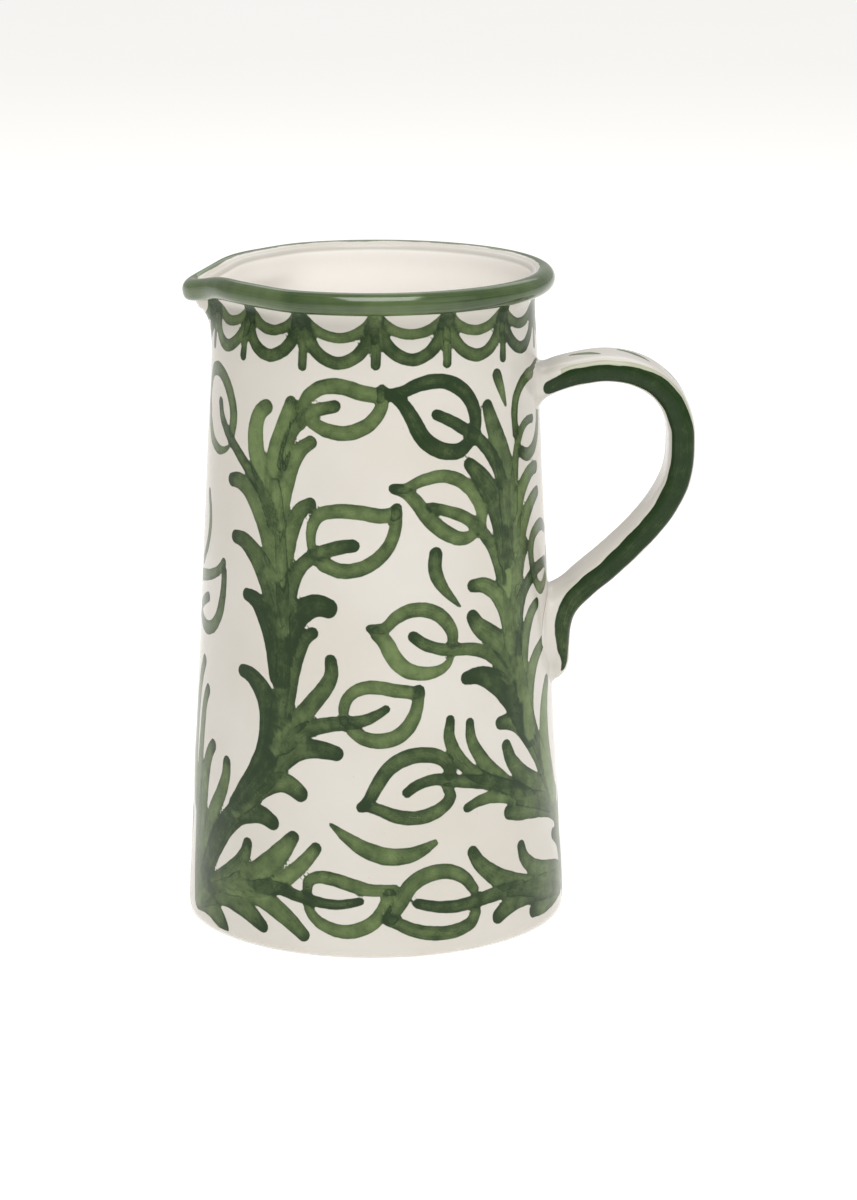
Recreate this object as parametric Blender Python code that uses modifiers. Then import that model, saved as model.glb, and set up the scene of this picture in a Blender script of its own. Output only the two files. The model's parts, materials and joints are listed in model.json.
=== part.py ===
"""A tapered glazed stoneware pitcher: wall with a pulled spout, base slab, rolled rim, luted strap handle.

Metres, +Z up. The body's axis is Z and it stands on Z = 0. The handle is on +X, the spout on -X.
"""

import math

import bpy
from mathutils import Vector

# Driving sizes of the body
HEIGHT = 0.240          # to the crest of the rim, away from the spout
BASE_RADIUS = 0.070     # outside, where the taper meets the table
NECK_RADIUS = 0.0578    # outside, just below the rolled rim
WALL = 0.0052           # thickness of the wall
SLAB = 0.0075           # thickness of the base slab
HEEL_ROUND = 0.004      # rounding of the slab's lower edge
JOINT_GAP = 0.0003      # clearance at every luted joint

# Rolled rim: one coil of clay laid on the flared top of the wall
RIM_SECTION = 0.0041    # radius of the coil
RIM_OVERHANG = 0.0077   # how far the coil stands out from the neck
FLARE_START = 0.007     # the wall starts to flare this far below the coil

# Pulled spout, as pushes on the round rim
SPOUT_OUT = 0.0068      # the tip, measured from the pinched part of the rim
SPOUT_PINCH = 0.0030    # the rim is drawn in on both sides of the tip
SPOUT_DIP = 0.0042      # the tip is lower than the rim
SPOUT_TIP_DEG = 12.0    # half width of the tip
SPOUT_PINCH_DEG = 42.0  # the pinch is full as far as this
SPOUT_FADE_DEG = 24.0   # and has gone after this much more
THROAT_EXTRA = 0.0034   # the throat below the tip bulges this much more than the tip
THROAT_DEPTH = 0.028    # length of the throat, down from the coil

# Strap handle
STRAP_WIDTH = 0.027
STRAP_THICKNESS = 0.0090
STRAP_TAIL_THICKNESS = 0.0100
PAD_MARGIN = 0.0060     # the slip pads reach this far round the strap
PAD_PROUD = 0.0050      # and stand this far off the wall
# The strap's centre line, as (out from the wall, down from the crest of the rim)
STRAP_LINE = (
    (-0.0077, 0.0455), (-0.0016, 0.0425), (0.0096, 0.0385), (0.0247, 0.0368), (0.0371, 0.0393),
    (0.0462, 0.0460), (0.0510, 0.0555), (0.0514, 0.0665), (0.0484, 0.0775), (0.0420, 0.0875),
    (0.0330, 0.0975), (0.0215, 0.1078), (0.0113, 0.1165), (0.0051, 0.1240), (0.0025, 0.1315),
    (0.0015, 0.1410), (0.0008, 0.1500),
)
UPPER_PAD_DROP = 0.0435  # middle of each slip pad, down from the crest
LOWER_PAD_DROP = 0.1360
LOWER_PAD_HALF = 0.0300  # half the lower pad's height

AROUND = 96             # steps round the body
COIL_STEPS = 20         # points round the rim's section
STRAP_STEPS = 4         # sections between two points of the strap's line
STRAP_CORNER = 6        # points in each quarter of the strap's section

GLAZE = (0.79, 0.75, 0.69, 1.0)
GREEN = (0.055, 0.13, 0.035, 1.0)
BISQUE = (0.72, 0.60, 0.46, 1.0)

COIL_TOP_OF_WALL = HEIGHT - 2 * RIM_SECTION - JOINT_GAP
COIL_RADIUS = NECK_RADIUS + RIM_OVERHANG - RIM_SECTION


def clear_scene():
    for obj in list(bpy.data.objects):
        bpy.data.objects.remove(obj, do_unlink=True)


def collection(name):
    made = bpy.data.collections.new(name)
    bpy.context.scene.collection.children.link(made)
    return made


def material(name, colour, roughness):
    made = bpy.data.materials.new(name)
    made.use_nodes = True
    shader = made.node_tree.nodes["Principled BSDF"]
    shader.inputs["Base Color"].default_value = colour
    shader.inputs["Roughness"].default_value = roughness
    shader.inputs["Metallic"].default_value = 0.0
    return made


def smooth(edge0, edge1, x):
    t = min(1.0, max(0.0, (x - edge0) / (edge1 - edge0)))
    return t * t * (3 - 2 * t)


def outer_radius(z):
    """The straight taper of the outside of the body."""
    return BASE_RADIUS + (NECK_RADIUS - BASE_RADIUS) * z / COIL_TOP_OF_WALL


def spout_push(co):
    """Moves a point of the round body to its place on the spouted one."""
    turn = abs(math.degrees(math.atan2(co.y, -co.x)))
    tip = math.exp(-((turn / SPOUT_TIP_DEG) ** 2))
    pinch = 1.0 - smooth(SPOUT_PINCH_DEG, SPOUT_PINCH_DEG + SPOUT_FADE_DEG, turn)
    throat_top = COIL_TOP_OF_WALL - 0.004
    rise = max(0.0, min(1.0, (co.z - throat_top + THROAT_DEPTH) / THROAT_DEPTH)) ** 2
    above = smooth(throat_top, COIL_TOP_OF_WALL, co.z)
    out = (SPOUT_OUT + THROAT_EXTRA * (1.0 - above)) * tip - SPOUT_PINCH * pinch
    radius = math.hypot(co.x, co.y)
    scale = (radius + out * rise) / radius
    dip = SPOUT_DIP * math.exp(-((turn / (1.3 * SPOUT_TIP_DEG)) ** 2)) * rise
    return Vector((co.x * scale, co.y * scale, co.z - dip))


def turned(name, outline, home):
    """A closed outline at +X, as (radius, height), turned round Z into a solid."""
    mesh = bpy.data.meshes.new(name + "_outline")
    points = [(radius, 0.0, height) for radius, height in outline]
    mesh.from_pydata(points, [(i, (i + 1) % len(points)) for i in range(len(points))], [])
    obj = bpy.data.objects.new(name, mesh)
    home.objects.link(obj)
    screw = obj.modifiers.new("turn", "SCREW")
    screw.axis = "Z"
    screw.steps = screw.render_steps = AROUND
    screw.use_merge_vertices = True
    screw.merge_threshold = 0.00001
    return baked(obj)


def baked(obj):
    """Replaces an object's data with its evaluated mesh, facing out."""
    bpy.context.view_layer.update()
    graph = bpy.context.evaluated_depsgraph_get()
    mesh = bpy.data.meshes.new_from_object(obj.evaluated_get(graph))
    obj.modifiers.clear()
    obj.data = mesh
    bpy.ops.object.select_all(action="DESELECT")
    bpy.context.view_layer.objects.active = obj
    obj.select_set(True)
    bpy.ops.object.mode_set(mode="EDIT")
    bpy.ops.mesh.select_all(action="SELECT")
    bpy.ops.mesh.remove_doubles(threshold=0.00001)
    bpy.ops.mesh.normals_make_consistent(inside=False)
    bpy.ops.object.mode_set(mode="OBJECT")
    return obj


def finish(obj, surface, sharp_deg=40.0):
    obj.data.materials.clear()
    obj.data.materials.append(surface)
    obj.data.shade_smooth()
    obj.data.set_sharp_from_angle(angle=math.radians(sharp_deg))
    return obj


def cut(obj, cutter):
    boolean = obj.modifiers.new("cut " + cutter.name, "BOOLEAN")
    boolean.operation = "DIFFERENCE"
    boolean.solver = "EXACT"
    boolean.object = cutter
    return obj


def arc(centre, radius, start_deg, end_deg, steps):
    turns = [math.radians(start_deg + (end_deg - start_deg) * i / steps) for i in range(steps + 1)]
    return [(centre[0] + radius * math.cos(t), centre[1] + radius * math.sin(t)) for t in turns]


def rolled_rim(home):
    """The coil that rounds off the mouth, pushed out and down at the spout."""
    section = arc((COIL_RADIUS, HEIGHT - RIM_SECTION), RIM_SECTION, 90, -270, COIL_STEPS)[:-1]
    obj = turned("rim_coil", section, home)
    for vertex in obj.data.vertices:
        vertex.co = spout_push(vertex.co)
    return obj


def body_wall(home):
    """The tapered wall from the slab to the coil. Its top flares to carry the coil."""
    bottom = SLAB + JOINT_GAP
    start = COIL_TOP_OF_WALL - FLARE_START
    seat = 0.6 * RIM_SECTION
    outer_flare = COIL_RADIUS + seat - NECK_RADIUS
    inner_flare = COIL_RADIUS - seat - NECK_RADIUS + WALL
    flare = [(t / 4, start + t / 4 * FLARE_START) for t in range(5)]
    straight = [bottom + (start - bottom) * i / 8 for i in range(8)]
    outer = [(outer_radius(z) + outer_flare * t**3, z) for t, z in reversed(flare)]
    outer += [(outer_radius(z), z) for z in reversed(straight)]
    inner = [(outer_radius(z) - WALL, z) for z in straight]
    inner += [(outer_radius(z) - WALL + inner_flare * t**2, z) for t, z in flare]
    obj = turned("body_wall", outer + inner, home)
    for vertex in obj.data.vertices:
        vertex.co = spout_push(vertex.co)
    return obj


def base_slab(home):
    """The solid floor, as wide as the wall that stands on it, flat underneath."""
    heel = arc((outer_radius(HEEL_ROUND) - HEEL_ROUND, HEEL_ROUND), HEEL_ROUND, 0, -90, 6)
    outline = [(0.0, SLAB), (outer_radius(SLAB), SLAB)] + heel + [(0.0, 0.0)]
    return turned("base_slab", outline, home)


def wall_cutter(home):
    """The space that the wall takes, with the joint clearance round it."""
    low, high = -0.01, HEIGHT + 0.01
    outside = [(outer_radius(z) + JOINT_GAP, z) for z in (high, low)]
    outline = [(0.0, high)] + outside + [(0.0, low)]
    return turned("wall_space", outline, home)


def curve_point(points, at):
    """A point on a smooth line through all of the given points."""
    i = min(int(at), len(points) - 2)
    t = at - i
    p = [Vector(points[max(0, min(len(points) - 1, i + k))]) for k in (-1, 0, 1, 2)]
    return 0.5 * (2 * p[1] + (p[2] - p[0]) * t + (2 * p[0] - 5 * p[1] + 4 * p[2] - p[3]) * t**2
                  + (3 * p[1] - 3 * p[2] + p[3] - p[0]) * t**3)


def strap(name, home, grow=0.0):
    """A loft of rounded sections along the strap's line. grow adds clearance all round."""
    line = [(outer_radius(HEIGHT - drop) + out, HEIGHT - drop) for out, drop in STRAP_LINE]
    count = (len(line) - 1) * STRAP_STEPS
    verts, faces = [], []
    around = 4 * STRAP_CORNER
    for i in range(count + 1):
        at = i / STRAP_STEPS
        middle = curve_point(line, at)
        ahead = curve_point(line, min(at + 0.05, len(line) - 1))
        behind = curve_point(line, max(at - 0.05, 0.0))
        along = (ahead - behind).normalized()
        out = Vector((-along.y, along.x))
        tail = smooth(0.75, 0.95, i / count)
        half_thick = 0.5 * (STRAP_THICKNESS + (STRAP_TAIL_THICKNESS - STRAP_THICKNESS) * tail) + grow
        half_wide = 0.5 * STRAP_WIDTH + grow
        end = grow * ((i == count) - (i == 0))
        for k in range(around):
            turn = 2 * math.pi * (k + 0.5) / around
            c, s = math.cos(turn), math.sin(turn)
            a = half_thick * math.copysign(abs(c) ** 0.62, c)
            b = half_wide * math.copysign(abs(s) ** 0.42, s)
            spot = middle + out * a + along * end
            verts.append((spot.x, b, spot.y))
    for i in range(count):
        for k in range(around):
            n = (k + 1) % around
            faces.append((i * around + k, i * around + n, (i + 1) * around + n, (i + 1) * around + k))
    faces.append(tuple(range(around)))
    faces.append(tuple(count * around + k for k in reversed(range(around))))
    mesh = bpy.data.meshes.new(name)
    mesh.from_pydata(verts, [], faces)
    obj = bpy.data.objects.new(name, mesh)
    home.objects.link(obj)
    return baked(obj)


def slip_pad(name, home, height, half_height):
    """The smoothed slip round one end of the strap: a rounded pad sunk into the wall, along its taper."""
    sink = PAD_PROUD
    bpy.ops.mesh.primitive_uv_sphere_add(segments=48, ring_count=24, radius=1.0)
    obj = bpy.context.object
    obj.name = name
    for owner in list(obj.users_collection):
        owner.objects.unlink(obj)
    home.objects.link(obj)
    obj.location = (outer_radius(height) - sink, 0.0, height)
    obj.scale = (sink + PAD_PROUD, 0.5 * STRAP_WIDTH + PAD_MARGIN, half_height)
    bpy.ops.object.transform_apply(location=True, rotation=False, scale=True)
    for vertex in obj.data.vertices:
        vertex.co.x += outer_radius(vertex.co.z) - outer_radius(height)
    return obj


def main():
    clear_scene()
    parts = collection("ceramic_pitcher")
    cutters = collection("cutters")

    glaze = material("cream_glaze", GLAZE, 0.22)
    handle_glaze = material("handle_glaze", GLAZE, 0.24)
    slip = material("glazed_slip", GLAZE, 0.26)
    green = material("green_glaze", GREEN, 0.2)
    bisque = material("base_stoneware", BISQUE, 0.7)

    finish(base_slab(parts), bisque)
    finish(body_wall(parts), glaze)
    finish(rolled_rim(parts), green)

    wall = wall_cutter(cutters)
    strap_space = strap("strap_space", cutters, grow=JOINT_GAP)

    handle = cut(strap("handle_strap", parts), wall)
    finish(baked(handle), handle_glaze)

    upper = slip_pad("upper_joint_slip", parts, HEIGHT - UPPER_PAD_DROP, 0.5 * STRAP_THICKNESS + PAD_MARGIN)
    lower = slip_pad("lower_joint_slip", parts, HEIGHT - LOWER_PAD_DROP, LOWER_PAD_HALF)
    for pad in (upper, lower):
        cut(pad, strap_space)
        cut(pad, wall)
        finish(baked(pad), slip)

    for helper in cutters.objects:
        helper.hide_render = True
        helper.display_type = "WIRE"


main()
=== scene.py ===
# %% [markdown]
# # A painted pitcher, tall and tapered
# A potter throws or presses the wall, lays a rolled rim on it, pulls a spout and lutes a strap handle to
# the side. It is then dipped in cream glaze and painted with a loaded brush in one translucent green.
# The measured frame gives every size. This file makes four finished pieces round it, the body, its bare
# base, the rim and the handle, and each takes the place of the plain solids it stands for.

# %% Load the measured frame
import json
import math

import bpy
import numpy as np
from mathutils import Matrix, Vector

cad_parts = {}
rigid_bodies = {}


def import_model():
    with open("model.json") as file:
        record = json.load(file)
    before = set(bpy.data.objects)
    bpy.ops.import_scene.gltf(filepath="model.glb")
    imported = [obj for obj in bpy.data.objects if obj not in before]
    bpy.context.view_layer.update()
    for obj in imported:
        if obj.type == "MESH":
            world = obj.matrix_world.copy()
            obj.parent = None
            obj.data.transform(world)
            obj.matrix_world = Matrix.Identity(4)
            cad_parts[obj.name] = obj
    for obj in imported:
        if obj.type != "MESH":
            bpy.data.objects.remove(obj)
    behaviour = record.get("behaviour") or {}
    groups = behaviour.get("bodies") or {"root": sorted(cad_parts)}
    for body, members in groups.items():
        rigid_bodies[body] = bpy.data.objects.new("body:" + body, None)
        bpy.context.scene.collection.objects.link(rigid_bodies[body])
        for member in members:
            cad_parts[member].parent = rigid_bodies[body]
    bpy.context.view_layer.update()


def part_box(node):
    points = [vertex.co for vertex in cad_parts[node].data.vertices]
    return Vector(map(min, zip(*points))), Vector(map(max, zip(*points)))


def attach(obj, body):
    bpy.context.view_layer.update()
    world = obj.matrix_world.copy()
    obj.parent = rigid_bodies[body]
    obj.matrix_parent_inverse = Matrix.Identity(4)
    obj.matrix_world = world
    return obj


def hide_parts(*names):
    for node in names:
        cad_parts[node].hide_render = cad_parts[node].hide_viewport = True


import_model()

MM = 0.001
rim_low, rim_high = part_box("rim_coil")
slab_low, slab_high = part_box("base_slab")

# %% [markdown]
# ## Sizes
# Everything hangs on two facts of the wall: it is a straight cone from the foot to the neck, and the rim
# is a bead of clay that stands out from it. Heights run up from the table. Angles round the wall are in
# degrees from the middle of the front, growing towards the handle, so the spout is at -90.

# %% Name the sizes of the clay
TOP = rim_high.z                    # crest of the rim
BEAD = 0.0041                       # radius of the rim's section
BEAD_RING = rim_high.y - BEAD       # radius of the ring the bead runs on
BEAD_FOOT = TOP - 2 * BEAD - 0.0003  # height where the wall meets the bead
FOOT_RADIUS = 0.0700                # of the wall, carried down to the table
NECK_RADIUS = 0.0578                # of the wall, just under the bead
WALL = 0.0052                       # thickness
FLOOR = slab_high.z + 0.0003        # height of the floor inside


def wall_radius(height):
    """Radius of the outside of the wall at a height."""
    return FOOT_RADIUS + (NECK_RADIUS - FOOT_RADIUS) * height / BEAD_FOOT


for part, radius in (("foot", FOOT_RADIUS), ("slab", slab_high.y), ("rim", rim_high.y)):
    print(f"{part} {radius / MM:.1f} mm in radius")

# %% [markdown]
# ## Helpers for modelling
# An operator acts on all that is selected, so each step first empties the selection. A piece is handed
# over with its place in its mesh and its object at the origin, so patterns and sizes hold everywhere.

# %% Select and edit
def alone(piece):
    """Leaves one piece selected and active."""
    bpy.ops.object.select_all(action="DESELECT")
    piece.select_set(True)
    bpy.context.view_layer.objects.active = piece


def start_piece(name, add_primitive, **sizes):
    """Adds a primitive at the origin, with nothing else selected, and names it."""
    bpy.ops.object.select_all(action="DESELECT")
    add_primitive(location=(0, 0, 0), **sizes)
    piece = bpy.context.object
    piece.name = piece.data.name = name
    return piece


def fetch(items, name, kind=float):
    """One number for each item of a mesh."""
    values = np.empty(len(items), kind)
    items.foreach_get(name, values)
    return values


def fetch_rows(items, name):
    """Three numbers for each item of a mesh, as rows of x, y, z."""
    values = np.empty(len(items) * 3)
    items.foreach_get(name, values)
    return values.reshape(-1, 3)


def points_of(piece):
    return fetch_rows(piece.data.vertices, "co")


def from_axis(places):
    """How far each place is from the pitcher's upright axis."""
    return np.hypot(places[:, 0], places[:, 1])


def move_points(piece, places):
    """Puts the points of a mesh where the rows say."""
    piece.data.vertices.foreach_set("co", places.ravel())
    piece.data.update()


def smooth_over(piece, levels):
    """Rounds the mesh off with a subdivision surface and applies it."""
    alone(piece)
    rounding = piece.modifiers.new("rounding", "SUBSURF")
    rounding.levels = rounding.render_levels = levels
    bpy.ops.object.modifier_apply(modifier=rounding.name)
    bpy.ops.object.shade_smooth()


def face_outwards(piece):
    """Recalculates the normals of a closed mesh."""
    alone(piece)
    bpy.ops.object.mode_set(mode="EDIT")
    bpy.ops.mesh.select_all(action="SELECT")
    bpy.ops.mesh.normals_make_consistent(inside=False)
    bpy.ops.object.mode_set(mode="OBJECT")


def record_on(piece, name, values):
    """Keeps one number for each point of the mesh, for a material to read."""
    layer = piece.data.attributes.new(name, "FLOAT", "POINT")
    layer.data.foreach_set("value", np.asarray(values, np.float32))


def smoothstep(low, high, value):
    share = np.clip((value - low) / (high - low), 0, 1)
    return share * share * (3 - 2 * share)


# %% [markdown]
# ## The wall
# The body is one wall of clay that goes up the outside, over the top and down the inside to the floor.
# It starts as a circle on the underside and is drawn up ring by ring with extrude and resize, which is
# how the potter's hands lift it. Close rings up the outside give the brushwork enough points later on.

# %% Write the section of the wall, ring by ring
# Each ring has a radius and a height.
AROUND = 88              # points in each ring, before rounding
WALL_ROWS = 48           # rings up the painted outside

RECESS = 0.0026          # the underside is cut up this far inside the foot
underside = [(0.0560, RECESS), (0.0592, RECESS), (0.0606, 0.0), (0.0668, 0.0)]
heel = [(0.0695, 0.0004), (0.0699, 0.0026)]
outside = [(wall_radius(height), height) for height in np.linspace(0.0078, 0.2272, WALL_ROWS)]
neck = [(0.0586, 0.2304), (0.0610, 0.2330), (0.0607, 0.2366), (BEAD_RING - 0.0016, TOP - 0.0012)]
throat = [
    (BEAD_RING - 0.0038, TOP - 0.0010), (BEAD_RING - 0.0046, TOP - 0.0042),
    (BEAD_RING - 0.0047, TOP - 0.0090), (0.0551, 0.2230), (0.0547, 0.2120),
]
inside = [(wall_radius(height) - WALL, height) for height in (0.196, 0.120, 0.024)]
floor = [(0.0622, 0.0112), (0.0560, FLOOR), (0.0200, FLOOR)]
section = underside + heel + outside + neck + throat + inside + floor
print(len(section), "rings of", AROUND, "points")

# %% Draw the wall up
radius, height = section[0]
body = start_piece(
    "pitcher_body", bpy.ops.mesh.primitive_circle_add, vertices=AROUND, radius=radius, fill_type="NGON"
)
bpy.ops.object.mode_set(mode="EDIT")
bpy.ops.transform.translate(value=(0, 0, height))
bpy.ops.mesh.select_mode(type="EDGE")
bpy.ops.mesh.select_all(action="SELECT")
bpy.ops.mesh.region_to_loop()
for next_radius, next_height in section[1:]:
    bpy.ops.mesh.extrude_edges_move(TRANSFORM_OT_translate={"value": (0, 0, next_height - height)})
    swell = next_radius / radius
    bpy.ops.transform.resize(value=(swell, swell, 1), center_override=(0, 0, next_height))
    radius, height = next_radius, next_height
bpy.ops.mesh.edge_face_add()
bpy.ops.object.mode_set(mode="OBJECT")
face_outwards(body)
smooth_over(body, 2)
print("body:", len(body.data.vertices), "points,", 2 * len(body.data.polygons), "triangles")

# %% [markdown]
# ## The brushwork
# Every leaf is two curved strokes and a vein, and every frond is a stem with blades laid against it. A
# stroke is kept as its shade, its width in millimetres at the start, the middle and the end, and then the
# path of the brush. Before the spout is pulled, the wall is a plain cone, so a path is just degrees round
# it and millimetres up it. The shade says how thin the paint was: 0 is full dark green, 1 the thinnest wash.

# %% Paths of the leaves
LEAVES = (
    # leaf with its tip to the right, at the top of the left frond
    (0.55, 3, 5.4, 5.2, (-25.6, 192), (-25.7, 197), (-23, 202.6), (-17.5, 206), (-11, 206.3), (-4, 204.3),
     (1.3, 203.3)),
    (0.55, 3.6, 5.2, 4.6, (2.7, 205.6), (2.8, 201), (0.4, 195.6), (-4.5, 191.6), (-10.5, 190), (-17, 191),
     (-21.5, 193.4)),
    (0.5, 4.4, 4.6, 4, (-13.6, 199.4), (-18.5, 198.2), (-23.5, 195.8), (-27.5, 191.3), (-30.5, 185),
     (-32.5, 177)),
    # leaf with its tip to the left, at the top of the right frond
    (0.15, 4, 5.4, 5, (5.4, 203.8), (9.5, 204.4), (14.5, 206.6), (20, 207.7), (26, 207), (31.5, 203.8),
     (35.4, 198.6), (36.8, 192.5), (36, 188)),
    (0.15, 3.6, 6, 4.6, (6, 203.2), (9.8, 200), (12.8, 195), (15.8, 189), (19.8, 184.8), (25, 182.5),
     (30, 182.5), (34.5, 185.6)),
    (0.25, 3.8, 4.8, 5, (21.4, 195.9), (26, 193.6), (31, 190.5), (36.5, 186.6), (41, 182), (45, 176),
     (48, 169)),
    # second pair
    (0.55, 2.6, 5, 4.8, (-20.2, 145.5), (-21.4, 151), (-20.9, 156.5), (-18.5, 160.6), (-12.5, 162.3),
     (-5, 162), (2, 160.8), (6.4, 161.6)),
    (0.5, 3.6, 5, 5.2, (7.3, 163.6), (7, 158), (5.3, 151.5), (2.5, 147.2), (-1.5, 143.6), (-6.5, 141.4),
     (-11.5, 141), (-17.2, 143.2)),
    (0.35, 4.8, 5.2, 5.4, (-7.2, 150.2), (-11.8, 149.4), (-16.7, 147.6), (-21.2, 145.2), (-25.2, 141),
     (-27.8, 134.5), (-29.2, 126)),
    (0.55, 2.8, 4.8, 4.2, (5.8, 170.6), (10, 170.4), (15.5, 172.8), (21.5, 174), (27, 173), (32, 169.8),
     (35.8, 165), (38, 159.5), (37.8, 154.6)),
    (0.5, 3.6, 5.6, 4, (7, 170.2), (11, 168.4), (14.5, 164.5), (17.6, 159.6), (21.5, 155.6), (26, 152.3),
     (31, 150.8), (35, 152.4)),
    (0.45, 3.6, 4.8, 4.8, (19, 163.2), (23.3, 161.8), (27.5, 160.2), (31.5, 158.2), (35.5, 155),
     (39, 151.2), (42.2, 146), (44.6, 139.6), (46, 133)),
    # single leaf at mid height, tip to the left
    (0.5, 3, 5.2, 4, (-1.7, 120.6), (3, 120.8), (6.6, 124.3), (11, 126.6), (15.8, 126.8), (20.3, 125),
     (23.6, 121.5), (25.6, 117.5), (25.5, 113.6)),
    (0.65, 5, 5.6, 2.2, (0.6, 118.8), (3.4, 115.5), (5.9, 110), (9.5, 105.8), (14, 104), (19, 104),
     (23, 105.8), (24.9, 108.6)),
    (0.45, 4, 4.6, 4.6, (12.2, 117.2), (15.5, 114.6), (20, 112.4), (25, 111.4), (31, 110.9), (36, 109.4),
     (40.5, 106.6), (44.5, 102.6), (48, 97.5)),
    # leaf low on the left frond, tip to the right
    (0.5, 3, 4.8, 4.4, (-9.8, 87), (-9.9, 92), (-7.8, 96.8), (-3.5, 99.3), (1.5, 99.3), (7, 98),
     (13.6, 97)),
    (0.5, 3.4, 5.6, 4.4, (14, 98.2), (13.4, 93), (11.8, 87.6), (9, 83.2), (5, 80.6), (0, 80),
     (-4.2, 81.3), (-7.4, 84)),
    (0.35, 2.8, 5.4, 5.6, (3.4, 91.6), (-0.8, 88.7), (-5, 87), (-10, 86.3), (-15, 85.4), (-20, 83.8),
     (-25, 80.8), (-29.5, 76)),
    # leaf low on the right frond, tip to the left
    (0.35, 3.6, 5.6, 4.6, (-4.4, 55.8), (-2, 58.6), (0.8, 64.5), (4.2, 70), (9, 73.4), (14.5, 74.4),
     (19.5, 73.3), (23, 70.3), (23.6, 66.4)),
    (0.35, 3.6, 5.2, 3.8, (-3, 56.3), (1.5, 54.8), (6, 52.5), (10.8, 51.5), (15.8, 52), (20.6, 54.3),
     (23.6, 58), (22.6, 61.4)),
    (0.3, 3.6, 4.8, 5.6, (9.7, 60.9), (13.3, 63.6), (18.3, 65), (23.3, 64.2), (28, 63), (33, 62),
     (38.5, 60.6), (44.5, 57.8), (51, 54)),
    # pair in the bottom border
    (0.5, 3.4, 5, 3.6, (-21, 23.6), (-20.6, 27.6), (-17.5, 29.5), (-13.3, 29.2), (-8.3, 27.5),
     (-2.5, 25.6), (2.5, 25.4), (5.3, 25.7)),
    (0.55, 4.6, 5.2, 3.4, (4, 23.6), (2.3, 18.4), (-0.8, 13.6), (-5, 10.8), (-10, 10), (-15, 11.6),
     (-18.8, 14.5), (-20.6, 18)),
    (0.25, 3, 4.2, 5, (-4.8, 21.4), (-10, 20), (-15, 19.9), (-20, 20.8), (-25, 22), (-31, 23.4),
     (-38, 22.6)),
    (0.45, 5, 5.8, 4, (4.2, 15), (7.8, 21.8), (10.8, 27), (15, 30), (20, 31), (24.4, 30), (28.2, 27),
     (31, 22.6)),
    (0.4, 4.2, 5.2, 4.4, (3.9, 14.4), (7.2, 12.6), (11, 10.3), (15.8, 8.8), (21, 8.2), (26, 8.8),
     (29.8, 10.8), (31.4, 14)),
    (0.3, 3.8, 5, 5.6, (12.6, 20), (17.5, 18.4), (23.3, 17.5), (29, 17.8), (36, 18.8), (43, 19.2),
     (50, 18.6)),
    # two loose strokes in the middle, and one near the top of the right frond
    (0.45, 5, 4.4, 0.9, (20.2, 146.4), (19.9, 141), (21.3, 136.3), (24.2, 131.8), (28.6, 126.6)),
    (0.5, 1.2, 6.4, 2.6, (-13.9, 49.2), (-9.2, 45), (-4.2, 41), (1.7, 38.2), (7, 37.5), (12.5, 38.6),
     (18.2, 41.8)),
    (0.5, 4.6, 3.6, 1, (47.3, 207.2), (48.8, 203.4), (50.3, 199.4), (51.8, 195.2)),
    # leaves that turn away round the left side
    (0.45, 3.4, 5.2, 4.4, (-81, 191), (-80.5, 198), (-77, 204), (-70.5, 206), (-65.2, 204.5), (-61, 201),
     (-58, 196), (-56.8, 191), (-57.3, 185.8)),
    (0.55, 4, 4.4, 1.2, (-80.5, 192), (-78.5, 186), (-74.5, 180.6), (-70, 178.2), (-66, 177.2),
     (-61.8, 178.2), (-58.8, 180)),
    (0.35, 3.8, 4.4, 4.6, (-66.8, 194.6), (-65.3, 190), (-61.8, 186), (-57.7, 182.5), (-52.7, 178.5),
     (-47.7, 174), (-42.7, 169), (-38.5, 163.4), (-35.4, 155)),
    (0.45, 4.4, 4.2, 3.2, (-86.5, 121), (-86, 125.4), (-82, 127.6), (-76, 129), (-69, 131), (-63, 133.8),
     (-59.6, 137.6)),
    (0.45, 3.4, 5, 4.4, (-59, 134.5), (-59.2, 128), (-60.6, 121), (-62.9, 116), (-66.5, 112.4),
     (-72, 110.5), (-78, 111.4), (-84, 114.4)),
    (0.45, 3.8, 4.4, 4.4, (-71.8, 121.8), (-76.5, 119.7), (-81.5, 116.6), (-86, 112), (-89.5, 105),
     (-91, 96)),
    (0.5, 3, 3.6, 3.2, (-75.5, 160), (-73, 153.5), (-72.8, 146.4), (-75.6, 139.4), (-80.5, 133.6)),
    # leaves that turn away round the right side
    (0.45, 3.6, 4.8, 4.4, (56.8, 184.5), (56.6, 191), (58, 197), (61.8, 201.4), (66.8, 203.6),
     (72, 204.2), (78, 205.4), (84, 205)),
    (0.5, 4.6, 4.8, 4.2, (60.6, 177.2), (64.3, 175.6), (69.3, 176.4), (73.5, 179.2), (76.8, 184),
     (78.3, 191), (77.6, 198)),
    (0.45, 4, 5, 3.6, (64.5, 134), (63.8, 140.4), (66, 145.4), (70.6, 147.5), (76, 147.6), (81, 145)),
    (0.55, 3.4, 4.6, 4, (65, 131.4), (67.6, 127.4), (71.4, 124.8), (76, 126), (80.5, 130), (83, 136)),
)

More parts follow.
